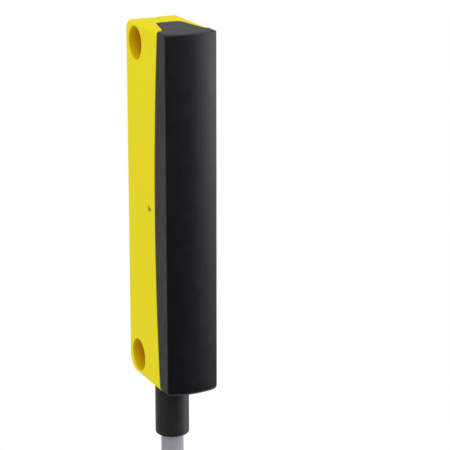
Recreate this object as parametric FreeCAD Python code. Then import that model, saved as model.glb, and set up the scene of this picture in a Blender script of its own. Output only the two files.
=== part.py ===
import FreeCAD, Part
import math
import os

# Magnetic safety sensor: a long bar that is screwed to a guard through two cross holes.
# Z runs along the bar and the cable leaves its lower end. The sensing face looks towards -Y,
# the side with the screw heads towards -X, and the mounting face is the plane X = 0.
# The origin lies on the mounting face, midway between the two fixing holes.

V = FreeCAD.Vector

# Outer form
WIDTH = 13.0
DEPTH = 25.2            # from the crown of the sensing face to the rear
CROWN = 1.2             # how far the sensing face bulges beyond its two long edges

# Fixing holes
HOLE_PITCH = 78.0
HOLE_TO_END = 5.0
HOLE_TO_REAR = 5.8
HOLE_D = 4.5
HEAD_D = 8.0            # counterbore for the head of an M4 screw
HEAD_DEPTH = 5.0
HEAD_CHAMFER = 0.15
BOSS_WALL = 0.9         # around and under the counterbore, where it stands in the channel
BOSS_TOP_INSET = 1.0    # the boss starts this far under the face, clear of the rounded edges

# Housing
REAR_CORNER_R = (4.2, 2.5)  # lower and upper corner of the half with the screw heads
BASE_T = 5.1            # the half towards the mounting face has squarer corners
BASE_CORNER_R = (1.9, 1.9)
EDGE_R = 0.8
BASE_EDGE_R = 1.0

# Joint between cover and housing: a shallow arc along each side
STRIP_MID = 7.1         # width of the cover's side strip at mid-length
STRIP_END = 4.8         # and at both ends
JOINT_SLANT = 0.8       # the joint runs this much further back at the inside of the wall
JOINT_GAP = 0.2
JOINT_CORNER_R = 0.8    # rounded upper end of the strip, next to the joint
COVER_WALL = 1.5
COVER_FRONT_T = 1.9     # at the crown
PLUG_T = 2.2            # end plugs of the cover, which close the channel
PLUG_CLEARANCE = 0.28
COVER_EDGE_R = (0.5, 0.8)   # long edges on the side of the screw heads and of the mounting face
COVER_LOWER_R = 1.3     # end edges, fuller at the cable
COVER_UPPER_R = 0.4

# Channel in the housing: walls on the side of the screw heads and of the mounting face
CHANNEL_WALLS_FRONT = (1.75, 1.25)
CHANNEL_WALLS_REAR = (4.0, 2.7)
CHANNEL_REAR_WALL = 0.85    # left between the channel and the fixing holes
CHANNEL_CORNER_R = 1.8

# Circuit board and what is soldered to it
BOARD_T = 1.0
BOARD_SIDE_GAP = 0.9    # from the walls of the cover to the board
BOARD_END_GAP = 6.8     # from the end plugs to the board
BOARD_TO_FRONT = 4.0    # from the long edges of the sensing face to the board
REED_D = 2.2
REED_L = 12.0
REED_GLASS_T = 0.3
REED_BOARD_GAP = 0.3
REED_TO_BOARD_END = 13.0
REED_STEP = 2.0         # each contact stands this much further across the board
LEAD_D = 0.6
LEAD_REACH = 2.5        # straight lead outside the glass
LEAD_BEND_R = 0.6
REED_TAPER = 0.5        # chamfer at the ends of the glass
BLADE_W = 1.3
BLADE_T = 0.3
BLADE_GAP = 0.15
BLADE_OVERLAP = 1.0
CHIP_L = 3.2
CHIP_W = 1.6
CHIP_H = 0.6
CHIP_Z = (-18.0, 6.0)

# Cable and its sleeve
CABLE_D = 5.5
CABLE_TO_FACE = 5.8     # from the side with the screw heads to the middle of the cable
CABLE_Y = -7.1
SLEEVE_D = 8.3
SLEEVE_L = 13.7         # below the end of the bar
SLEEVE_RIM_R = 0.5
SLEEVE_CLEARANCE = 0.05
NECK_D = 6.8
NECK_CLEARANCE = 0.1
CORE_D = 1.2
CORE_RING_R = 1.25      # distance of the cores from the middle of the cable
CORE_RISE = 3.0
CORE_LEVEL = 3.4        # last stretch of a core, square to the board
PAD_INSET = 1.1         # from the sides of the board to the middle of the outer pads
PAD_TO_BOARD_END = 3.0
CORE_NAMES = ("white", "brown", "blue", "black")
CORE_ANGLES = (180.0, 270.0, 90.0, 0.0)

# Coil of the put-away cable, hanging under the bar in a plane parallel to the mounting face
COIL_R = 32.5           # middle of the turns
COIL_X = -9.2
COIL_Z = -144.0
TURN_PITCH = 5.6
COIL_RADIAL_TURNS = 4
COIL_CHAMFER = 4.0      # corners of the bundle of turns
LEAD_JOIN_DEG = 45.0    # where the lead runs into the coil, from its top towards +Y
LEAD_TURNS_Z = -71.3    # the lead hangs straight down to the first corner of its route
LEAD_CORNER = (-4.8, 4.4, -101.3)
TIE_W = 2.6
TIE_T = 1.0
TIE_CLEARANCE = 0.1
TIE_HEAD = (4.6, 4.2, 3.4)
TIE_DEG = (-55.0, 190.0)

# Tail of the cable with its stripped cores
TAIL_L = 34.0           # below the middle of the coil
END_CORE_L = 31.0
END_CORE_SPREAD = 2.4
FERRULE_D = 1.9
FERRULE_L = 8.0
FERRULE_GRIP = 2.5      # of the ferrule's length that covers the core

LENGTH = HOLE_PITCH + 2 * HOLE_TO_END
X_MID = -WIDTH / 2
X_SIDE = -WIDTH
Y_REAR = HOLE_TO_REAR
Y_EDGE = Y_REAR - DEPTH + CROWN
Y_CROWN = Y_REAR - DEPTH
Z_END = LENGTH / 2
Z_HOLE = HOLE_PITCH / 2
Z_PLUG = Z_END - PLUG_T
STRIP_SAG = STRIP_MID - STRIP_END
JOINT_R = (Z_END ** 2 + STRIP_SAG ** 2) / (2 * STRIP_SAG)
JOINT_MID_Y = Y_EDGE + STRIP_MID
JOINT_AXIS_Y = JOINT_MID_Y - JOINT_R
NOTCH_Y = Y_EDGE + STRIP_END + JOINT_SLANT
CHANNEL_REAR_Y = -HOLE_D / 2 - CHANNEL_REAR_WALL
HOLLOW_FRONT_Y = Y_CROWN + COVER_FRONT_T
BOARD_L = 2 * (Z_PLUG - BOARD_END_GAP)
BOARD_W = WIDTH - 2 * (COVER_WALL + BOARD_SIDE_GAP)
BOARD_FRONT_Y = Y_EDGE + BOARD_TO_FRONT
BOARD_REAR_Y = BOARD_FRONT_Y + BOARD_T
REED_Y = BOARD_FRONT_Y - REED_BOARD_GAP - REED_D / 2
REED_PITCH = BOARD_L / 2 - REED_TO_BOARD_END
CABLE_X = X_SIDE + CABLE_TO_FACE
TURN_REACH = (COIL_RADIAL_TURNS - 1) / 2 * TURN_PITCH + CABLE_D / 2
TURN_ROW = math.sin(math.radians(60)) * TURN_PITCH
COIL_HALF_X = TURN_ROW + CABLE_D / 2


def block(x0, x1, y0, y1, z0, z1):
    return Part.makeBox(x1 - x0, y1 - y0, z1 - z0, V(x0, y0, z0))


def face_of(points):
    return Part.Face(Part.makePolygon(points + points[:1]))


def cross_cylinder(radius, x0, x1, y, z):
    return Part.makeCylinder(radius, x1 - x0, V(x0, y, z), V(1, 0, 0))


def upright_cylinder(radius, z0, z1, x, y):
    return Part.makeCylinder(radius, z1 - z0, V(x, y, z0), V(0, 0, 1))


def edges_where(shape, test):
    return [edge for edge in shape.Edges if test(edge.BoundBox)]


def joint_drum(gap):
    """Everything in front of the joint. Its rear is turned about a far axis along X."""
    slope = JOINT_SLANT / COVER_WALL
    margin = 1.0
    rear = JOINT_MID_Y - gap
    section = face_of([
        V(X_SIDE - margin, Y_CROWN - margin, 0),
        V(X_SIDE - margin, rear - slope * margin, 0),
        V(X_SIDE + COVER_WALL, rear + JOINT_SLANT, 0),
        V(-COVER_WALL, rear + JOINT_SLANT, 0),
        V(margin, rear - slope * margin, 0),
        V(margin, Y_CROWN - margin, 0),
    ])
    sweep = 2 * math.degrees(math.asin((Z_END + margin) / (JOINT_R - STRIP_MID)))
    axis = V(0, JOINT_AXIS_Y, 0)
    section.rotate(axis, V(1, 0, 0), -sweep / 2)
    return section.revolve(axis, V(1, 0, 0), sweep)


def channel_side(index, y):
    """Where a side of the tapered channel stands at a depth: 0 screw heads, 1 mounting face."""
    share = (y - NOTCH_Y) / (CHANNEL_REAR_Y - NOTCH_Y)
    front = CHANNEL_WALLS_FRONT[index]
    wall = front + share * (CHANNEL_WALLS_REAR[index] - front)
    return (X_SIDE + wall, -wall)[index]


def channel_prism(y0, inset, z0, z1):
    """Tapered section of the channel, from a depth to its rounded rear."""
    rear = CHANNEL_REAR_Y - inset
    corners = [
        V(channel_side(0, y0) + inset, y0, z0),
        V(channel_side(0, rear) + inset, rear, z0),
        V(channel_side(1, rear) - inset, rear, z0),
        V(channel_side(1, y0) - inset, y0, z0),
    ]
    prism = face_of(corners).extrude(V(0, 0, z1 - z0))
    rear_edges = edges_where(prism, lambda b: b.YMin > rear - 0.01 and b.XLength < 0.01)
    return prism.makeFillet(CHANNEL_CORNER_R - inset, rear_edges)


def side_slab(x0, x1, corner_radii):
    """Slice of the housing across X, with its lower and upper rear corners rounded."""
    slab = block(x0, x1, Y_EDGE, Y_REAR, -Z_END, Z_END)
    for z, radius in zip((-Z_END, Z_END), corner_radii):
        corner = edges_where(
            slab, lambda b: b.YMin > Y_REAR - 0.01 and b.ZLength < 0.01 and abs(b.ZMin - z) < 0.01)
        slab = slab.makeFillet(radius, corner)
    return slab


def round_outline(slab, x, radius):
    """Rounds the edges of a slab that lie in the plane X = x, apart from the front one."""
    outline = edges_where(
        slab, lambda b: abs(b.XMin - x) < 0.01 and b.XLength < 0.01 and b.YMax > Y_EDGE + 0.01)
    return slab.makeFillet(radius, outline)


def head_bore(z):
    """Fixing hole with its counterbore and the chamfer at the rim."""
    bore = cross_cylinder(HOLE_D / 2, X_SIDE, 0, 0, z)
    head = cross_cylinder(HEAD_D / 2, X_SIDE, X_SIDE + HEAD_DEPTH, 0, z)
    rim = Part.makeCone(
        HEAD_D / 2 + HEAD_CHAMFER, HEAD_D / 2, HEAD_CHAMFER, V(X_SIDE, 0, z), V(1, 0, 0))
    return bore.fuse([head, rim])


def head_boss(z, clearance):
    """Material around a counterbore, where it stands in the channel."""
    return cross_cylinder(
        HEAD_D / 2 + BOSS_WALL + clearance,
        X_SIDE + BOSS_TOP_INSET,
        X_SIDE + HEAD_DEPTH + BOSS_WALL + clearance,
        0,
        z)


def cable_hole():
    return upright_cylinder(NECK_D / 2 + NECK_CLEARANCE, -Z_END, -Z_PLUG, CABLE_X, CABLE_Y)


def cable_end_wall(y_front):
    """Lower end of the bar from the middle of the cable to the rear, which belongs to the housing."""
    return block(X_SIDE, 0, y_front, Y_REAR, -Z_END, -Z_PLUG)


def make_housing():
    face_half = round_outline(side_slab(X_SIDE, -BASE_T, REAR_CORNER_R), X_SIDE, EDGE_R)
    base_half = round_outline(side_slab(-BASE_T, 0, BASE_CORNER_R), 0, BASE_EDGE_R)
    body = face_half.fuse(base_half).removeSplitter()
    body = body.cut(joint_drum(0))
    body = body.cut(channel_prism(Y_EDGE, 0, -Z_END, Z_END).cut(cable_end_wall(CABLE_Y)))
    bosses = [head_boss(z, 0) for z in (-Z_HOLE, Z_HOLE)]
    body = body.fuse(bosses)
    bores = [head_bore(z) for z in (-Z_HOLE, Z_HOLE)]
    return body.cut(bores + [cable_hole()]).removeSplitter()


def inner_space(rear):
    """Room between the walls and the end plugs of the cover."""
    return block(X_SIDE + COVER_WALL, -COVER_WALL, HOLLOW_FRONT_Y, rear, -Z_PLUG, Z_PLUG)


def crowned_bar():
    """Bar with the crowned sensing face, before it is cut back to the joint."""
    left = V(X_SIDE, Y_EDGE, -Z_END)
    right = V(0, Y_EDGE, -Z_END)
    crown = Part.Arc(left, V(X_MID, Y_CROWN, -Z_END), right).toShape()
    sides = Part.makePolygon([right, V(0, 0, -Z_END), V(X_SIDE, 0, -Z_END), left])
    bar = Part.Face(Part.Wire([crown] + sides.Edges)).extrude(V(0, 0, LENGTH))
    for x, radius in zip((X_SIDE, 0), COVER_EDGE_R):
        long_edge = edges_where(
            bar,
            lambda b: b.ZLength > LENGTH - 0.01 and b.YMax < Y_EDGE + 0.01 and abs(b.XMin - x) < 0.01)
        bar = bar.makeFillet(radius, long_edge)
    return bar


def end_outline(shell, z):
    """Edges of the crown and of the side strips in the plane of one end."""
    return edges_where(
        shell,
        lambda b: b.ZLength < 0.01 and abs(b.ZMin - z) < 0.01 and b.YMin < Y_EDGE + STRIP_END / 2)


def make_cover():
    shell = crowned_bar().common(joint_drum(JOINT_GAP))
    shell = shell.makeFillet(COVER_LOWER_R, end_outline(shell, -Z_END))
    joint_corners = edges_where(
        shell,
        lambda b: b.ZLength < 0.01 and abs(b.ZMin - Z_END) < 0.01
        and b.YMin > Y_EDGE + STRIP_END - JOINT_GAP * 2
        and b.XLength < COVER_WALL + 0.01)
    shell = shell.makeFillet(JOINT_CORNER_R, joint_corners)
    shell = shell.makeFillet(COVER_UPPER_R, end_outline(shell, Z_END))
    plugs = []
    for z0, z1, z_hole in ((-Z_END, -Z_PLUG, -Z_HOLE), (Z_PLUG, Z_END, Z_HOLE)):
        plug = channel_prism(Y_EDGE + COVER_FRONT_T, PLUG_CLEARANCE, z0, z1)
        plugs.append(plug.cut([head_boss(z_hole, PLUG_CLEARANCE), cable_end_wall(CABLE_Y - PLUG_CLEARANCE)]))
    return shell.fuse(plugs).cut([inner_space(Y_REAR), cable_hole()]).removeSplitter()


def make_board():
    return block(
        X_MID - BOARD_W / 2, X_MID + BOARD_W / 2, BOARD_FRONT_Y, BOARD_REAR_Y, -BOARD_L / 2, BOARD_L / 2)


def reed_capsule(x, z):
    tube = upright_cylinder(REED_D / 2, z - REED_L / 2, z + REED_L / 2, x, REED_Y)
    return tube.makeChamfer(REED_TAPER, edges_where(tube, lambda b: b.ZLength < 0.01))


def reed_blade(x, z, side):
    """Lead, flattened inside the glass, for the upper (side 1) or lower (side -1) end."""
    glass_end = z + side * REED_L / 2
    inside = z - side * BLADE_OVERLAP / 2
    corner = glass_end + side * LEAD_REACH
    start = V(x, REED_Y, glass_end - side * REED_GLASS_T * 2)
    bend_in = V(x, REED_Y, corner - side * LEAD_BEND_R)
    bend_out = V(x, REED_Y + LEAD_BEND_R, corner)
    shift = LEAD_BEND_R * (1 - math.sin(math.radians(45)))
    bend_mid = V(x, REED_Y + shift, corner - side * shift)
    path = Part.Wire([
        Part.LineSegment(start, bend_in).toShape(),
        Part.Arc(bend_in, bend_mid, bend_out).toShape(),
        Part.LineSegment(bend_out, V(x, BOARD_FRONT_Y, corner)).toShape(),
    ])
    ring = Part.Wire([Part.makeCircle(LEAD_D / 2, start, V(0, 0, side))])
    lead = path.makePipeShell([ring], True, False)
    offset = side * (BLADE_GAP + BLADE_T) / 2
    z0, z1 = sorted((inside, glass_end - side * REED_GLASS_T * 2))
    blade = block(
        x - BLADE_W / 2, x + BLADE_W / 2, REED_Y + offset - BLADE_T / 2, REED_Y + offset + BLADE_T / 2, z0, z1)
    return lead.fuse(blade).removeSplitter()


def make_reed(x, z):
    """Glass tube and its two blades."""
    inner_r = REED_D / 2 - REED_GLASS_T
    seal = REED_GLASS_T * 3
    hollow = upright_cylinder(inner_r, z - REED_L / 2 + seal, z + REED_L / 2 - seal, x, REED_Y)
    blades = [reed_blade(x, z, side) for side in (1, -1)]
    glass = reed_capsule(x, z).cut(hollow).cut(blades)
    return glass, blades[0], blades[1]


def make_chip(z):
    return block(
        X_MID - CHIP_W / 2, X_MID + CHIP_W / 2, BOARD_REAR_Y, BOARD_REAR_Y + CHIP_H, z - CHIP_L / 2, z + CHIP_L / 2)


def round_route(points):
    """Straight runs joined by tangent arcs, each as large as its two runs allow."""
    edges = []
    radii = []
    here = points[0]
    for before, corner, after in zip(points, points[1:], points[2:]):
        back = before - corner
        ahead = after - corner
        half_turn = (math.pi - back.getAngle(ahead)) / 2
        tangent = 0.45 * min(back.Length, ahead.Length)
        radius = tangent / math.tan(half_turn)
        back.normalize()
        ahead.normalize()
        enter = corner + back * tangent
        leave = corner + ahead * tangent
        inward = back + ahead
        inward.normalize()
        middle = corner + inward * (radius / math.cos(half_turn) - radius)
        edges.append(Part.LineSegment(here, enter).toShape())
        edges.append(Part.Arc(enter, middle, leave).toShape())
        radii.append(radius)
        here = leave
    edges.append(Part.LineSegment(here, points[-1]).toShape())
    return Part.Wire(edges), radii


def make_tube(name, points, diameter):
    path, radii = round_route(points)
    ring = Part.Wire([Part.makeCircle(diameter / 2, points[0], points[1] - points[0])])
    tube = path.makePipeShell([ring], True, False)
    expected = math.pi * diameter ** 2 / 4 * path.Length
    texts = ", ".join("%.1f" % radius for radius in radii)
    print("%s: length %.1f, radii %s, volume %.4f of expected" % (
        name, path.Length, texts, tube.Volume / expected))
    return tube


def core_offset(angle):
    turn = math.radians(angle)
    return V(CORE_RING_R * math.cos(turn), CORE_RING_R * math.sin(turn), 0)


def make_inner_cores():
    """Cores from the end of the jacket to the rear of the board."""
    cores = {}
    z_pad = -BOARD_L / 2 + PAD_TO_BOARD_END
    pad_step = (BOARD_W - 2 * PAD_INSET) / (len(CORE_NAMES) - 1)
    for index, (name, angle) in enumerate(zip(CORE_NAMES, CORE_ANGLES)):
        start = V(CABLE_X, CABLE_Y, -Z_PLUG) + core_offset(angle)
        x_pad = X_MID - BOARD_W / 2 + PAD_INSET + index * pad_step
        points = [
            start,
            start + V(0, 0, CORE_RISE),
            V(x_pad, BOARD_REAR_Y + CORE_LEVEL, z_pad),
            V(x_pad, BOARD_REAR_Y, z_pad),
        ]
        cores["core_" + name] = make_tube("core_" + name, points, CORE_D)
    return cores


def make_potting(cover, housing, inner):
    """Resin in all the room that the cover, the housing and the inner parts leave."""
    bores = [head_bore(z) for z in (-Z_HOLE, Z_HOLE)]
    return inner_space(CHANNEL_REAR_Y).cut([cover, housing] + bores + inner)


def make_sleeve():
    """Strain relief with a neck that sits in the end of the bar."""
    z_low = -Z_END - SLEEVE_L
    sleeve = upright_cylinder(SLEEVE_D / 2, z_low, -Z_END, CABLE_X, CABLE_Y)
    rim = edges_where(sleeve, lambda b: b.ZLength < 0.01 and b.ZMin < z_low + 0.01)
    sleeve = sleeve.makeFillet(SLEEVE_RIM_R, rim)
    sleeve = sleeve.fuse(upright_cylinder(NECK_D / 2, -Z_END, -Z_PLUG, CABLE_X, CABLE_Y))
    bore = upright_cylinder(
        CABLE_D / 2 + SLEEVE_CLEARANCE, z_low, -Z_PLUG, CABLE_X, CABLE_Y)
    return sleeve.cut(bore)


def coil_point(x, radius, degrees):
    """Point of the coil, with the angle from its top towards +Y."""
    turn = math.radians(degrees)
    return V(x, CABLE_Y + radius * math.sin(turn), COIL_Z + radius * math.cos(turn))


def bundle_section(margin):
    """Eight-sided section of the bundle of turns at the top of the coil, grown by a margin."""
    half_x = COIL_HALF_X + margin
    half_z = TURN_REACH + margin
    corner = COIL_CHAMFER + margin * (2 - math.sqrt(2))
    quarter = [(half_x, half_z - corner), (half_x - corner, half_z)]
    outline = quarter + [(-x, z) for x, z in reversed(quarter)]
    outline += [(-x, -z) for x, z in outline]
    return face_of([V(COIL_X + x, CABLE_Y, COIL_Z + COIL_R + z) for x, z in outline])


def make_coil():
    return bundle_section(0).revolve(V(0, CABLE_Y, COIL_Z), V(1, 0, 0), 360)


def make_tie(degrees):
    """Band around the bundle with its locking head on the outside."""
    start = V(0, -TIE_W / 2, 0)
    band = bundle_section(TIE_CLEARANCE + TIE_T).extrude(V(0, TIE_W, 0))
    band = band.cut(bundle_section(TIE_CLEARANCE).extrude(V(0, TIE_W, 0)))
    band.translate(start)
    length, width, height = TIE_HEAD
    seat = COIL_Z + COIL_R + TURN_REACH + TIE_CLEARANCE + TIE_T / 2
    head = block(
        COIL_X - length / 2, COIL_X + length / 2, CABLE_Y - width / 2, CABLE_Y + width / 2, seat, seat + height)
    tie = band.fuse(head).removeSplitter()
    tie.rotate(V(0, CABLE_Y, COIL_Z), V(1, 0, 0), -degrees)
    return tie


def lead_points():
    """Route of the cable from inside the sleeve to the coil."""
    start = V(CABLE_X, CABLE_Y, -Z_PLUG)
    end = coil_point(COIL_X + TURN_ROW, COIL_R + TURN_PITCH, LEAD_JOIN_DEG)
    return [start, V(CABLE_X, CABLE_Y, LEAD_TURNS_Z), V(*LEAD_CORNER), end]


def tail_top():
    return coil_point(COIL_X, COIL_R + (COIL_RADIAL_TURNS - 1) / 2 * TURN_PITCH, 90)


def make_tail():
    top = tail_top()
    return upright_cylinder(CABLE_D / 2, top.z - TAIL_L, top.z - CABLE_D, top.x, top.y)


def make_end_cores():
    """Stripped cores that hang out of the tail and spread a little, with their ferrules."""
    pieces = {}
    top = tail_top() - V(0, 0, TAIL_L)
    for name, angle in zip(CORE_NAMES, CORE_ANGLES):
        offset = core_offset(angle)
        spread = offset * END_CORE_SPREAD
        low = top + spread - V(0, 0, END_CORE_L)
        points = [
            top + offset,
            top + offset - V(0, 0, END_CORE_L / 3),
            top + spread - V(0, 0, END_CORE_L * 2 / 3),
            low,
        ]
        pieces["end_core_" + name] = make_tube("end_core_" + name, points, CORE_D)
        ferrule = upright_cylinder(
            FERRULE_D / 2, low.z - FERRULE_L + FERRULE_GRIP, low.z + FERRULE_GRIP, low.x, low.y)
        pieces["ferrule_" + name] = ferrule.cut(pieces["end_core_" + name])
    return pieces


def build():
    nodes = {"housing": make_housing(), "sensing_cover": make_cover(), "circuit_board": make_board()}
    capsules = []
    for index in range(3):
        x = X_MID + (index - 1) * REED_STEP
        z = (1 - index) * REED_PITCH
        glass, upper, lower = make_reed(x, z)
        nodes["reed_glass_%d" % (index + 1)] = glass
        nodes["reed_%d_upper_blade" % (index + 1)] = upper
        nodes["reed_%d_lower_blade" % (index + 1)] = lower
        capsules += [reed_capsule(x, z), upper, lower]
    for index, z in enumerate(CHIP_Z):
        nodes["resistor_%d" % (index + 1)] = make_chip(z)
    cores = make_inner_cores()
    nodes.update(cores)
    chips = [nodes["resistor_1"], nodes["resistor_2"]]
    inner = [nodes["circuit_board"]] + capsules + chips + list(cores.values())
    nodes["potting"] = make_potting(nodes["sensing_cover"], nodes["housing"], inner)
    nodes["cable_sleeve"] = make_sleeve()
    nodes["cable_coil"] = make_coil()
    nodes["cable_lead"] = make_tube("cable_lead", lead_points(), CABLE_D).cut(nodes["cable_coil"])
    nodes["cable_tail"] = make_tail().cut(nodes["cable_coil"])
    for index, degrees in enumerate(TIE_DEG):
        nodes["coil_tie_%d" % (index + 1)] = make_tie(degrees)
    nodes.update(make_end_cores())
    return nodes


os.makedirs("parts", exist_ok=True)
for node_name, shape in build().items():
    shape.exportStep("parts/%s.step" % node_name)
    print("%-22s solids %d valid %s volume %.2f" % (
        node_name, len(shape.Solids), shape.isValid(), shape.Volume))
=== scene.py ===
"""Finish, cable and studio for a slim magnetic safety sensor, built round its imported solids.

The frame is the part's own, in metres: Z along the bar, the mounting face in the plane X = 0,
the crowned sensing face towards -Y and the screw heads towards -X.
"""

import math

import bmesh
import bpy
from mathutils import Matrix, Vector


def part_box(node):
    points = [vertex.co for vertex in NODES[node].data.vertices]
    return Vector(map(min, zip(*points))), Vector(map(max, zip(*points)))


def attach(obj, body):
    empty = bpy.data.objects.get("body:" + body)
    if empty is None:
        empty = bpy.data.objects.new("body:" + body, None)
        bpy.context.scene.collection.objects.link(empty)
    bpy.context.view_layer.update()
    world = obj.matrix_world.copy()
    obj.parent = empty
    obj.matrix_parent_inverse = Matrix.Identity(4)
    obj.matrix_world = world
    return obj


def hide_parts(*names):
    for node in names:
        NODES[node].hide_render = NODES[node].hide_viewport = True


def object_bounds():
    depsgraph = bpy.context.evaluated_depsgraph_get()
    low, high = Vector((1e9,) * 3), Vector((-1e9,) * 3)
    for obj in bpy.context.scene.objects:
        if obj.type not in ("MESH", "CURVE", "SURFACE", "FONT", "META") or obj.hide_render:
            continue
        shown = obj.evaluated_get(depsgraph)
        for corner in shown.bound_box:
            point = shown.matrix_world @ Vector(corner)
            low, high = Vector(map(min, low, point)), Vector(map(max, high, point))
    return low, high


bl_info = {
    "name": "Magnetic Safety Sensor",
    "version": (1, 0, 0),
    "blender": (4, 5, 0),
    "location": "3D View > Sidebar > Sensor",
    "description": "Builds the finish, cable and studio of a slim magnetic safety sensor",
    "category": "Object",
}

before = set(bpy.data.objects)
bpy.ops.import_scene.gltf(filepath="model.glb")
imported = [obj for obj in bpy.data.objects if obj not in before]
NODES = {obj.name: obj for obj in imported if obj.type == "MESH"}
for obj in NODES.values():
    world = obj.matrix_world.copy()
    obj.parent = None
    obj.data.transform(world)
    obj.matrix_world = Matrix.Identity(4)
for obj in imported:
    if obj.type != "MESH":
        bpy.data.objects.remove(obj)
CAD_BOX = [list(corner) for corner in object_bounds()]

MM = 0.001
LINEAR_STEP = 0.04045   # darker sRGB values lie on the straight start of the curve
WELD = 0.0005 * MM
SHARP_DEG = 28.0        # an edge of a solid that turns further than this stays sharp

# Sizes that the cable repeats from the part, in millimetres
CABLE_X = -7.2
CABLE_Y = -7.1
EXIT_Z = -41.8
COIL_X = -9.2
COIL_Z = -144.0
COIL_R = 32.5
TURN_PITCH = 5.6
LEAD_JOIN_DEG = 45.0    # where the lead runs into the coil, from its top towards +Y
LEAD_TURNS_Z = -71.3
LEAD_CORNER = (-4.8, 4.4, -101.3)
TAIL_L = 34.0           # below the middle of the coil
CORE_RING_R = 1.25      # distance of the cores from the middle of the cable
CORE_ANGLES = (180.0, 270.0, 90.0, 0.0)
END_CORE_L = 31.0
END_CORE_SPREAD = 2.4

# How the smooth line of the cable runs along its solids
STRAIGHT_Z = -64.0      # the cable hangs straight past the lower edge of the photograph
LEAD_ROUTE = (
    (CABLE_X, CABLE_Y, EXIT_Z),
    (CABLE_X, CABLE_Y, STRAIGHT_Z),
    (CABLE_X, CABLE_Y, LEAD_TURNS_Z),
    LEAD_CORNER,
)
TURN_CHANGE_DEG = 26.0  # over this angle a turn moves to the next place in the bundle
TAIL_LEAVES_DEG = 90.0  # where the tail leaves the coil, from its top towards +Y
TAIL_FREE = 0.55        # share of the tail that hangs straight
CORE_COLOURS = (("white", "E6E5E0"), ("brown", "5A3A24"), ("blue", "1F4F9A"), ("black", "1B1B1C"))

# Printed arrowhead on the side with the screw heads: three corners as (y, z), in millimetres
FLANK_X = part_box("housing")[0][0] / MM
MARK = ((-7.0, 1.2), (-7.0, -0.5), (-9.5, 0.35))
MARK_CORNER = 0.12
INK_T = 0.015

# Sockets of a Mix node that mixes colours
MIX_SHARE = 0
MIX_FIRST = 6
MIX_SECOND = 7
MIX_RESULT = 2

# Materials
NOISE_LOW = 0.3         # most values of a noise lie between these two
NOISE_HIGH = 0.7
# Painted shade on the yellow: its colour turns a darker amber where nearby walls close a recess in
PAINTED_SHADE_REACH = 9 * MM   # a wall further off than this leaves a recess open
PAINTED_SHADE_FULL = 0.1       # share of open directions at which the painted shade is full dark amber
PAINTED_SHADE_NONE = 0.7       # and the share at which there is no painted shade, plain yellow

# Studio, in metres. Round the part the floor keeps its shadow, and further out it is seen as white
FLOOR_Z = CAD_BOX[0][2] - 4 * MM
FLOOR_HALF = 4.0
WHITE_FROM = 0.16       # distance from the middle of the bar where more white sets in
WHITE_TO = 0.36         # and where all is white
WHITE_NEAR = 0.4        # share of plain white in what is seen of the floor near the part
SCREEN_R = 0.3
SCREEN_STEPS = 12
APRON_R = 0.07
APRON_Z = FLOOR_Z + 1 * MM
SCREENS = (             # name, first and last azimuth in degrees, height of the top edge, colour
    ("front_screen", -75, 28, 0.08, "060606"),
    ("low_screen", 28, 66, -0.1, "101012"),
    ("back_screen", 100, 180, 0.25, "ACACAC"),
    ("left_screen", 180, 222, 0.25, "C4C4C4"),
    ("far_left_screen", 222, 285, 0.25, "787878"),
)


def linear(code, alpha=1.0):
    """Linear colour of an sRGB hex code, by the two-part curve of that standard."""
    parts = []
    for place in (0, 2, 4):
        value = int(code[place:place + 2], 16) / 255
        parts.append(value / 12.92 if value <= LINEAR_STEP else ((value + 0.055) / 1.055) ** 2.4)
    return (*parts, alpha)


class FinishSettings(bpy.types.PropertyGroup):
    """Colours and surface of the moulded pieces."""

    housing_colour: bpy.props.FloatVectorProperty(
        name="Housing", description="Colour of the moulded housing", subtype="COLOR", size=4,
        min=0, max=1, default=linear("F0E00C"))
    cover_colour: bpy.props.FloatVectorProperty(
        name="Cover", description="Colour of the cover over the sensing side", subtype="COLOR", size=4,
        min=0, max=1, default=linear("0F1013"))
    grain: bpy.props.FloatProperty(
        name="Grain", description="Grain of the spark-eroded mould", subtype="DISTANCE", unit="LENGTH",
        min=0.00005, default=0.35 * MM)


class CableSettings(bpy.types.PropertyGroup):
    """Sizes and colour of the cable."""

    diameter: bpy.props.FloatProperty(
        name="Diameter", description="Outside of the jacket", subtype="DISTANCE", unit="LENGTH",
        min=0.002, default=5.5 * MM)
    core_diameter: bpy.props.FloatProperty(
        name="Core diameter", description="Outside of a core's insulation", subtype="DISTANCE",
        unit="LENGTH", min=0.0005, default=1.2 * MM)
    points_per_turn: bpy.props.IntProperty(
        name="Points in a turn", description="Control points of the curve in each turn of the coil",
        min=12, default=18)
    colour: bpy.props.FloatVectorProperty(
        name="Jacket", description="Colour of the jacket", subtype="COLOR", size=4,
        min=0, max=1, default=linear("94989D"))


class StudioSettings(bpy.types.PropertyGroup):
    """Camera and light."""

    focal_length: bpy.props.FloatProperty(
        name="Focal length", description="Lens of the camera, in millimetres", min=10, default=156.87)
    azimuth: bpy.props.FloatProperty(
        name="Azimuth", description="Direction of the camera round the part", subtype="ANGLE",
        unit="ROTATION", default=math.radians(-24.848))
    elevation: bpy.props.FloatProperty(
        name="Elevation", description="Height of the camera above the horizon", subtype="ANGLE",
        unit="ROTATION", default=math.radians(16.33))
    camera_place: bpy.props.FloatVectorProperty(
        name="Camera", description="Where the camera stands", subtype="TRANSLATION", unit="LENGTH",
        size=3, default=(-0.18494, -0.42189, 0.12762))
    top_power: bpy.props.FloatProperty(
        name="Top light", description="Power of the large light above the left", subtype="POWER",
        unit="POWER", min=0, default=2.1)
    side_power: bpy.props.FloatProperty(
        name="Side light", description="Power of the low light on the right", subtype="POWER",
        unit="POWER", min=0, default=0.6)
    ambient: bpy.props.FloatProperty(
        name="Ambient", description="Strength of the light from all round", min=0, default=0.72)


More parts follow.
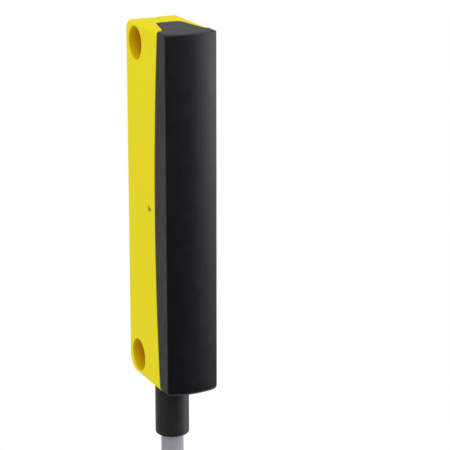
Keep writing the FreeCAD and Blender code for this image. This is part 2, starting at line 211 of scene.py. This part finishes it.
def add(tree, kind, settings=(), **links):
    """Adds a node. Settings are its properties, or values of its inputs; links feed its inputs."""
    made = tree.nodes.new(kind)
    for key, value in dict(settings).items():
        if isinstance(key, str) and hasattr(made, key):
            setattr(made, key, value)
        else:
            made.inputs[key].default_value = value
    for key, source in links.items():
        tree.links.new(source, made.inputs[key.replace("_", " ")])
    return made


def surface(name, colour, roughness, settings=()):
    """A new material with its principled shader, and the object's own coordinates."""
    material = bpy.data.materials.new(name)
    material.use_nodes = True
    tree = material.node_tree
    shader = tree.nodes["Principled BSDF"]
    shader.inputs["Base Color"].default_value = colour
    shader.inputs["Roughness"].default_value = roughness
    for key, value in dict(settings).items():
        shader.inputs[key].default_value = value
    place = add(tree, "ShaderNodeTexCoord").outputs["Object"]
    return material, tree, shader, place


def mottle(tree, shader, place, colour, size, share):
    """Lets the colour wander a little, over patches of a given size."""
    patches = add(tree, "ShaderNodeTexNoise", {"Scale": 1 / size, "Detail": 2.0}, Vector=place)
    dark = tuple(part * (1 - share) for part in colour[:3]) + (1.0,)
    light = tuple(min(1.0, part * (1 + share)) for part in colour[:3]) + (1.0,)
    mix = add(tree, "ShaderNodeMix", {"data_type": "RGBA", MIX_FIRST: dark, MIX_SECOND: light})
    tree.links.new(patches.outputs["Fac"], mix.inputs[MIX_SHARE])
    tree.links.new(mix.outputs[MIX_RESULT], shader.inputs["Base Color"])


def roughen(tree, shader, place, low, high, size):
    """Lets the gloss wander between two values of roughness."""
    patches = add(tree, "ShaderNodeTexNoise", {"Scale": 1 / size, "Detail": 4.0}, Vector=place)
    spread = add(
        tree, "ShaderNodeMapRange",
        {"From Min": NOISE_LOW, "From Max": NOISE_HIGH, "To Min": low, "To Max": high},
        Value=patches.outputs["Fac"])
    tree.links.new(spread.outputs["Result"], shader.inputs["Roughness"])


def emboss(tree, shader, height, depth):
    """Turns a height into a bump of the shader's surface."""
    bump = add(tree, "ShaderNodeBump", {"Distance": depth}, Height=height)
    tree.links.new(bump.outputs["Normal"], shader.inputs["Normal"])


def moulded(name, colour, roughness, grain, depth, settings=()):
    """Moulded plastic from a spark-eroded mould: an even satin with a very fine grain."""
    material, tree, shader, place = surface(name, colour, roughness, settings)
    mottle(tree, shader, place, colour, size=9 * MM, share=0.02)
    roughen(tree, shader, place, low=roughness - 0.04, high=roughness + 0.05, size=2.5 * MM)
    pits = add(
        tree, "ShaderNodeTexNoise", {"Scale": 1 / grain, "Detail": 3.0, "Roughness": 0.6}, Vector=place)
    emboss(tree, shader, pits.outputs["Fac"], depth)
    return material


def yellow_pbt():
    """Glass-filled polyester, injection moulded: signal yellow with a soft satin, and painted shade that
    turns it a darker amber in deep recesses.
    """
    finish = bpy.context.scene.sensor_finish
    material = moulded(
        "Moulded polyester, signal yellow", tuple(finish.housing_colour), roughness=0.6,
        grain=finish.grain, depth=0.006 * MM, settings={"Specular IOR Level": 0.12})
    tree = material.node_tree
    shader = tree.nodes["Principled BSDF"]
    plain = shader.inputs["Base Color"].links[0].from_socket
    # Painted shade: the base colour is mixed towards dark amber where ambient occlusion finds nearby walls,
    # as in the screw bores
    opening = add(
        tree, "ShaderNodeAmbientOcclusion", {"only_local": True, "samples": 16, "Distance": PAINTED_SHADE_REACH})
    painted_shade_share = add(
        tree, "ShaderNodeMapRange",
        {"From Min": PAINTED_SHADE_FULL, "From Max": PAINTED_SHADE_NONE, "To Min": 1.0, "To Max": 0.0},
        Value=opening.outputs["AO"])
    shaded_colour = add(tree, "ShaderNodeMix", {"data_type": "RGBA", MIX_SECOND: linear("CC8600")})
    tree.links.new(painted_shade_share.outputs["Result"], shaded_colour.inputs[MIX_SHARE])
    tree.links.new(plain, shaded_colour.inputs[MIX_FIRST])
    tree.links.new(shaded_colour.outputs[MIX_RESULT], shader.inputs["Base Color"])
    return material


def black_pbt():
    """The same polyester in black, with the gloss of a finer mould."""
    finish = bpy.context.scene.sensor_finish
    return moulded(
        "Moulded polyester, black", tuple(finish.cover_colour), roughness=0.42,
        grain=finish.grain, depth=0.005 * MM)


def black_elastomer():
    """Soft thermoplastic moulded onto the cable: a wider, shallower grain and a broad dull gloss."""
    return moulded(
        "Moulded elastomer, black", linear("212224"), roughness=0.45,
        grain=0.5 * MM, depth=0.004 * MM, settings={"Specular IOR Level": 0.7})


def jacket_pvc():
    """Extruded soft PVC: smooth, with a low waviness and a faint silky gloss."""
    colour = tuple(bpy.context.scene.sensor_cable.colour)
    material, tree, shader, place = surface(
        "Extruded PVC jacket, grey", colour, roughness=0.4, settings={"Specular IOR Level": 0.8})
    mottle(tree, shader, place, colour, size=6 * MM, share=0.03)
    roughen(tree, shader, place, low=0.36, high=0.44, size=1.5 * MM)
    wave = add(tree, "ShaderNodeTexNoise", {"Scale": 1 / (1.2 * MM), "Detail": 2.0}, Vector=place)
    emboss(tree, shader, wave.outputs["Fac"], depth=0.01 * MM)
    return material


def core_pvc(name, code):
    """Extruded soft PVC of one core's insulation: an even colour with a soft gloss."""
    colour = linear(code)
    material, tree, shader, place = surface("Extruded PVC insulation, " + name, colour, roughness=0.4)
    mottle(tree, shader, place, colour, size=3 * MM, share=0.04)
    roughen(tree, shader, place, low=0.35, high=0.45, size=0.8 * MM)
    return material


def tinned_copper():
    """Tin-plated copper, deep drawn and crimped: grey-white metal of uneven gloss."""
    colour = linear("C9C8C4")
    material, tree, shader, place = surface(
        "Tinned copper, crimped", colour, roughness=0.3, settings={"Metallic": 1.0})
    mottle(tree, shader, place, colour, size=1 * MM, share=0.06)
    roughen(tree, shader, place, low=0.22, high=0.4, size=0.3 * MM)
    return material


def black_nylon():
    """Moulded polyamide of the ties: black with a waxy sheen."""
    return moulded(
        "Moulded polyamide, black", linear("161617"), roughness=0.38, grain=0.6 * MM, depth=0.006 * MM)


def cast_resin():
    """Cast polyurethane resin, poured: black and glossy, with a faintly wavy surface."""
    colour = linear("101012")
    material, tree, shader, place = surface("Cast polyurethane resin, black", colour, roughness=0.2)
    mottle(tree, shader, place, colour, size=5 * MM, share=0.05)
    wave = add(tree, "ShaderNodeTexNoise", {"Scale": 1 / (4 * MM), "Detail": 1.0}, Vector=place)
    emboss(tree, shader, wave.outputs["Fac"], depth=0.05 * MM)
    return material


def board_laminate():
    """Glass fibre laminate under green solder mask, whose weave shows faintly."""
    colour = linear("1E6A38")
    material, tree, shader, place = surface("Glass fibre laminate, solder mask", colour, roughness=0.3)
    mottle(tree, shader, place, colour, size=4 * MM, share=0.08)
    weave = add(
        tree, "ShaderNodeTexWave", {"bands_direction": "Z", "Scale": 1 / (0.5 * MM), "Distortion": 0.5},
        Vector=place)
    emboss(tree, shader, weave.outputs["Fac"], depth=0.01 * MM)
    return material


def drawn_glass():
    """Drawn lead glass of the contact tubes, clear with a green tint."""
    colour = linear("CFE6D2")
    material, tree, shader, place = surface(
        "Drawn lead glass, green tint", colour, roughness=0.03,
        settings={"IOR": 1.56, "Transmission Weight": 0.9})
    mottle(tree, shader, place, colour, size=3 * MM, share=0.03)
    return material


def plated_iron():
    """Nickel iron wire, rolled flat and plated: warm grey metal of uneven gloss."""
    colour = linear("B9AE95")
    material, tree, shader, place = surface(
        "Nickel iron, rolled and plated", colour, roughness=0.32, settings={"Metallic": 1.0})
    mottle(tree, shader, place, colour, size=1 * MM, share=0.05)
    roughen(tree, shader, place, low=0.25, high=0.4, size=0.3 * MM)
    return material


def fired_ceramic():
    """Alumina chip with a dark glaze over the resistive layer."""
    colour = linear("1B1A1C")
    material, tree, shader, place = surface("Glazed alumina, black", colour, roughness=0.25)
    mottle(tree, shader, place, colour, size=0.8 * MM, share=0.1)
    return material


def printed_ink():
    """Thin pad-printed grey ink, through which the yellow still shows."""
    colour = linear("AC922C")
    material, tree, shader, place = surface("Pad-printed ink, thin grey", colour, roughness=0.6)
    mottle(tree, shader, place, colour, size=0.5 * MM, share=0.1)
    return material


def finished(piece, material):
    """Gives a piece its only material."""
    piece.data.materials.clear()
    piece.data.materials.append(material)
    return piece


def mesh_object(name, shape):
    """Puts a bmesh into the scene as an object."""
    mesh = bpy.data.meshes.new(name)
    shape.to_mesh(mesh)
    shape.free()
    made = bpy.data.objects.new(name, mesh)
    bpy.context.scene.collection.objects.link(made)
    return made


def carried(piece, material):
    """Finishes a new piece and lets it ride on the only body."""
    finished(piece, material)
    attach(piece, "root")
    return piece


def smooth_copy(node, name, material):
    """A welded copy of a solid's mesh, shaded smooth across its curved faces."""
    shape = bmesh.new()
    shape.from_mesh(NODES[node].data)
    bmesh.ops.remove_doubles(shape, verts=shape.verts, dist=WELD)
    for face in shape.faces:
        face.smooth = True
    for edge in shape.edges:
        edge.smooth = edge.is_manifold and edge.calc_face_angle(0.0) < math.radians(SHARP_DEG)
    piece = carried(mesh_object(name, shape), material)
    weighted = piece.modifiers.new("Weighted normals", "WEIGHTED_NORMAL")
    weighted.keep_sharp = True
    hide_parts(node)


def cable_curve(name, points, diameter, material):
    """A round cable along the smooth curve that control points in millimetres give."""
    data = bpy.data.curves.new(name, "CURVE")
    data.dimensions = "3D"
    data.resolution_u = 8
    data.bevel_depth = diameter / 2
    data.bevel_resolution = 6
    data.use_fill_caps = True
    spline = data.splines.new("NURBS")
    spline.points.add(len(points) - 1)
    for control, point in zip(spline.points, points):
        control.co = (*(Vector(point) * MM), 1.0)
    spline.order_u = 3
    spline.use_endpoint_u = True
    spline.use_smooth = True
    piece = bpy.data.objects.new(name, data)
    bpy.context.scene.collection.objects.link(piece)
    return carried(piece, material)


def coil_point(across, radius, degrees):
    """Point of the coil, with the angle from its top towards +Y."""
    turn = math.radians(degrees)
    return Vector((COIL_X + across, CABLE_Y + radius * math.sin(turn), COIL_Z + radius * math.cos(turn)))


def turn_places():
    """Where each turn lies in the tied bundle: across the coil, and its radius. Rows of 3, 4 and 3."""
    row = math.sin(math.radians(60)) * TURN_PITCH
    right = [(row, COIL_R + TURN_PITCH * k) for k in (1, 0, -1)]
    middle = [(0.0, COIL_R + TURN_PITCH * k) for k in (-1.5, -0.5, 0.5, 1.5)]
    left = [(-row, COIL_R + TURN_PITCH * k) for k in (-1, 0, 1)]
    mixed = [place for pair in zip(left, middle[1:]) for place in pair]
    return right + middle[:1] + mixed


def eased(share):
    """A share kept between zero and one, with a gentle start and end."""
    share = min(1.0, max(0.0, share))
    return share * share * (3 - 2 * share)


def coil_points(points_per_turn):
    """Control points of the turns. Each turn changes place a little earlier than the one before."""
    places = turn_places()
    swell = 1 / math.cos(math.pi / points_per_turn)  # the curve cuts inside its control points
    step = 360 / points_per_turn
    total = 360.0 * (len(places) - 1) + TAIL_LEAVES_DEG - LEAD_JOIN_DEG
    points = []
    for index in range(int(total / step) + 1):
        along = index * step
        done = 0.0
        for number in range(1, len(places)):
            start = (360.0 - TURN_CHANGE_DEG) * number
            done += eased((along - start) / TURN_CHANGE_DEG)
        low = min(int(done), len(places) - 2)
        share = done - low
        across = places[low][0] + share * (places[low + 1][0] - places[low][0])
        radius = places[low][1] + share * (places[low + 1][1] - places[low][1])
        points.append(coil_point(across, radius * swell, LEAD_JOIN_DEG + along))
    return points


def tail_end():
    """Middle of the cut end of the jacket."""
    across, radius = turn_places()[-1]
    return coil_point(across, radius, TAIL_LEAVES_DEG) - Vector((0, 0, TAIL_L))


def end_core_points(end, angle):
    """Control points of a stripped core, which leaves the jacket straight and then spreads."""
    turn = math.radians(angle)
    offset = Vector((CORE_RING_R * math.cos(turn), CORE_RING_R * math.sin(turn), 0))
    spread = offset * END_CORE_SPREAD
    return [
        end + offset,
        end + offset - Vector((0, 0, END_CORE_L / 3)),
        end + spread - Vector((0, 0, END_CORE_L * 2 / 3)),
        end + spread - Vector((0, 0, END_CORE_L)),
    ]


class SENSOR_OT_housing(bpy.types.Operator):
    """Finish the moulded housing"""

    bl_idname = "sensor.housing"
    bl_label = "Housing"

    def execute(self, context):
        smooth_copy("housing", "moulded_housing", yellow_pbt())
        return {"FINISHED"}


class SENSOR_OT_mark(bpy.types.Operator):
    """Print the arrowhead that points at the middle of the sensing face"""

    bl_idname = "sensor.mark"
    bl_label = "Printed mark"

    def execute(self, context):
        shape = bmesh.new()
        corners = [shape.verts.new(Vector((FLANK_X, y, z)) * MM) for y, z in MARK]
        base = shape.faces.new(corners)
        grown = bmesh.ops.extrude_face_region(shape, geom=[base])
        outer = [item for item in grown["geom"] if isinstance(item, bmesh.types.BMVert)]
        bmesh.ops.translate(shape, verts=outer, vec=Vector((-INK_T, 0, 0)) * MM)
        uprights = [edge for edge in shape.edges if edge.calc_length() < 2 * INK_T * MM]
        bmesh.ops.bevel(
            shape, geom=uprights, offset=MARK_CORNER * MM, segments=3, profile=0.5, affect="EDGES",
            material=-1)
        bmesh.ops.recalc_face_normals(shape, faces=shape.faces)
        carried(mesh_object("centre_mark", shape), printed_ink())
        return {"FINISHED"}


class SENSOR_OT_cover(bpy.types.Operator):
    """Finish the crowned cover of the sensing side"""

    bl_idname = "sensor.cover"
    bl_label = "Sensing cover"

    def execute(self, context):
        smooth_copy("sensing_cover", "moulded_cover", black_pbt())
        return {"FINISHED"}


class SENSOR_OT_inner(bpy.types.Operator):
    """Finish the board, the contacts, the resistors and the resin inside"""

    bl_idname = "sensor.inner"
    bl_label = "Inner parts"

    def execute(self, context):
        finished(NODES["potting"], cast_resin())
        finished(NODES["circuit_board"], board_laminate())
        glass = drawn_glass()
        iron = plated_iron()
        ceramic = fired_ceramic()
        for name, piece in NODES.items():
            if name.startswith("reed_glass"):
                finished(piece, glass)
            elif name.endswith("_blade"):
                finished(piece, iron)
            elif name.startswith("resistor"):
                finished(piece, ceramic)
        return {"FINISHED"}


class SENSOR_OT_sleeve(bpy.types.Operator):
    """Finish the strain relief of the cable"""

    bl_idname = "sensor.sleeve"
    bl_label = "Cable sleeve"

    def execute(self, context):
        smooth_copy("cable_sleeve", "moulded_sleeve", black_elastomer())
        return {"FINISHED"}


class SENSOR_OT_cable(bpy.types.Operator):
    """Lay the cable from the sleeve into its tied coil, with the stripped cores at its end"""

    bl_idname = "sensor.cable"
    bl_label = "Cable"

    def execute(self, context):
        cable = context.scene.sensor_cable
        end = tail_end()
        above = end + Vector((0, 0, TAIL_L * TAIL_FREE))
        route = [Vector(point) for point in LEAD_ROUTE] + coil_points(cable.points_per_turn)
        jacket = cable_curve(
            "cable", route + [above, end], cable.diameter, jacket_pvc())
        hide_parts("cable_lead", "cable_coil", "cable_tail")
        tin = tinned_copper()
        for (colour, code), angle in zip(CORE_COLOURS, CORE_ANGLES):
            insulation = core_pvc(colour, code)
            finished(NODES["core_" + colour], insulation)
            points = end_core_points(end, angle)
            core = cable_curve(
                "end_core_of_" + colour, points, cable.core_diameter, insulation)
            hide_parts("end_core_" + colour)
            ferrule = finished(NODES["ferrule_" + colour], tin)
        return {"FINISHED"}


class SENSOR_OT_ties(bpy.types.Operator):
    """Finish the ties of the coil"""

    bl_idname = "sensor.ties"
    bl_label = "Coil ties"

    def execute(self, context):
        nylon = black_nylon()
        for name in ("coil_tie_1", "coil_tie_2"):
            finished(NODES[name], nylon)
        return {"FINISHED"}


def toward(azimuth, elevation):
    """Direction from the part to a place round it. Azimuth 0 is -Y, and it grows towards +X."""
    return Vector((
        math.sin(azimuth) * math.cos(elevation),
        -math.cos(azimuth) * math.cos(elevation),
        math.sin(elevation)))


def soft_light(name, azimuth_deg, elevation_deg, distance, size, power, colour="FFFFFF"):
    """A rectangular light that faces the middle of the bar."""
    data = bpy.data.lights.new(name, "AREA")
    data.shape = "RECTANGLE"
    data.size, data.size_y = size
    data.energy = power
    data.color = linear(colour)[:3]
    light = bpy.data.objects.new(name, data)
    direction = toward(math.radians(azimuth_deg), math.radians(elevation_deg))
    light.location = direction * distance
    light.rotation_euler = direction.to_track_quat("Z", "Y").to_euler()
    light.visible_camera = False
    bpy.context.scene.collection.objects.link(light)


def seen_directly(tree):
    """One for what the camera sees, straight or in a gloss or through glass, otherwise zero."""
    path = add(tree, "ShaderNodeLightPath")
    seen = path.outputs["Is Camera Ray"]
    for other in ("Is Glossy Ray", "Is Transmission Ray"):
        either = add(tree, "ShaderNodeMath", {"operation": "MAXIMUM"})
        tree.links.new(seen, either.inputs[0])
        tree.links.new(path.outputs[other], either.inputs[1])
        seen = either.outputs[0]
    return seen


def felt_screen(name, start_deg, end_deg, top, code):
    """A curved screen of felt on an apron just over the floor. It shows only in the part's gloss."""
    shape = bmesh.new()
    out = toward(math.radians(start_deg), 0)
    profile = ((APRON_R, APRON_Z), (SCREEN_R, APRON_Z), (SCREEN_R, top))
    corners = [shape.verts.new((out.x * away, out.y * away, z)) for away, z in profile]
    edges = [shape.edges.new(pair) for pair in zip(corners, corners[1:])]
    bmesh.ops.spin(
        shape, geom=corners + edges, cent=(0, 0, 0), axis=(0, 0, 1),
        angle=math.radians(end_deg - start_deg), steps=SCREEN_STEPS, use_merge=False)
    screen = mesh_object(name, shape)
    screen.visible_camera = False
    screen.visible_diffuse = False
    screen.visible_shadow = False
    colour = linear(code)
    material, tree, shader, place = surface("Felt screen " + name, colour, roughness=0.95)
    mottle(tree, shader, place, colour, size=20 * MM, share=0.1)
    finished(screen, material)


def painted_floor():
    """Matt white studio paint. Away from the part's shadow it is seen as pure white."""
    colour = linear("F2F2F2")
    material, tree, shader, place = surface("Painted studio floor, white", colour, roughness=0.9)
    mottle(tree, shader, place, colour, size=400 * MM, share=0.01)
    away = add(tree, "ShaderNodeVectorMath", {"operation": "LENGTH"}, Vector=place)
    clear = add(
        tree, "ShaderNodeMapRange",
        {"From Min": WHITE_FROM, "From Max": WHITE_TO, "To Min": WHITE_NEAR, "To Max": 1.0},
        Value=away.outputs["Value"])
    share = add(tree, "ShaderNodeMath", {"operation": "MULTIPLY"})
    tree.links.new(clear.outputs["Result"], share.inputs[0])
    tree.links.new(seen_directly(tree), share.inputs[1])
    white = add(tree, "ShaderNodeEmission", {"Color": (1, 1, 1, 1), "Strength": 1.0})
    mix = add(tree, "ShaderNodeMixShader", Fac=share.outputs[0])
    tree.links.new(shader.outputs["BSDF"], mix.inputs[1])
    tree.links.new(white.outputs["Emission"], mix.inputs[2])
    tree.links.new(mix.outputs["Shader"], tree.nodes["Material Output"].inputs["Surface"])
    return material


class SENSOR_OT_studio(bpy.types.Operator):
    """Set the floor, the light and the camera"""

    bl_idname = "sensor.studio"
    bl_label = "Studio"

    def execute(self, context):
        scene = context.scene
        studio = scene.sensor_studio
        self.make_floor()
        self.make_world(scene, studio.ambient)
        for screen in SCREENS:
            felt_screen(*screen)
        soft_light(
            "Top light", azimuth_deg=-60, elevation_deg=50, distance=0.8, size=(0.6, 0.6),
            power=studio.top_power)
        soft_light(
            "Side light", azimuth_deg=64, elevation_deg=9, distance=0.35, size=(0.22, 0.26),
            power=studio.side_power, colour="EAF0FF")
        self.make_camera(scene, studio)
        scene.view_settings.view_transform = "Standard"
        return {"FINISHED"}

    def make_floor(self):
        """A wide floor just below the part."""
        shape = bmesh.new()
        level = Matrix.Translation((0, 0, FLOOR_Z))
        bmesh.ops.create_grid(shape, x_segments=1, y_segments=1, size=FLOOR_HALF, matrix=level)
        floor = mesh_object("floor", shape)
        finished(floor, painted_floor())

    def make_world(self, scene, ambient):
        """White as seen directly and in reflections, and a softer light for what it lights."""
        world = bpy.data.worlds.new("Studio")
        world.use_nodes = True
        scene.world = world
        tree = world.node_tree
        tree.nodes.clear()
        direct = add(tree, "ShaderNodeBackground", {"Color": (1, 1, 1, 1), "Strength": 1.0})
        around = add(tree, "ShaderNodeBackground", {"Color": (1, 1, 1, 1), "Strength": ambient})
        mix = add(tree, "ShaderNodeMixShader", Fac=seen_directly(tree))
        tree.links.new(around.outputs[0], mix.inputs[1])
        tree.links.new(direct.outputs[0], mix.inputs[2])
        out = add(tree, "ShaderNodeOutputWorld")
        tree.links.new(mix.outputs[0], out.inputs["Surface"])

    def make_camera(self, scene, studio):
        """The camera of the photograph's viewing angle."""
        data = bpy.data.cameras.new("Camera")
        data.lens = studio.focal_length
        data.sensor_width = 36.0
        data.clip_start = 0.01
        data.clip_end = 20.0
        camera = bpy.data.objects.new("Camera", data)
        camera.location = studio.camera_place
        back = toward(studio.azimuth, studio.elevation)
        camera.rotation_euler = back.to_track_quat("Z", "Y").to_euler()
        scene.collection.objects.link(camera)
        scene.camera = camera


OPERATORS = (
    SENSOR_OT_housing,
    SENSOR_OT_mark,
    SENSOR_OT_cover,
    SENSOR_OT_inner,
    SENSOR_OT_sleeve,
    SENSOR_OT_ties,
    SENSOR_OT_cable,
    SENSOR_OT_studio,
)


class SENSOR_PT_panel(bpy.types.Panel):
    """Settings and steps of the sensor"""

    bl_label = "Magnetic safety sensor"
    bl_idname = "SENSOR_PT_panel"
    bl_space_type = "VIEW_3D"
    bl_region_type = "UI"
    bl_category = "Sensor"

    def draw(self, context):
        column = self.layout.column()
        for group in (context.scene.sensor_finish, context.scene.sensor_cable, context.scene.sensor_studio):
            for key in group.__annotations__:
                column.prop(group, key)
        for operator in OPERATORS:
            column.operator(operator.bl_idname)


GROUPS = {"sensor_finish": FinishSettings, "sensor_cable": CableSettings, "sensor_studio": StudioSettings}
CLASSES = (*GROUPS.values(), *OPERATORS, SENSOR_PT_panel)


def register():
    for item in CLASSES:
        bpy.utils.register_class(item)
    for key, group in GROUPS.items():
        setattr(bpy.types.Scene, key, bpy.props.PointerProperty(type=group))


def unregister():
    for key in GROUPS:
        delattr(bpy.types.Scene, key)
    for item in reversed(CLASSES):
        bpy.utils.unregister_class(item)


def main():
    register()
    for operator in OPERATORS:
        family, action = operator.bl_idname.split(".")
        getattr(getattr(bpy.ops, family), action)()


if __name__ == "__main__":
    main()
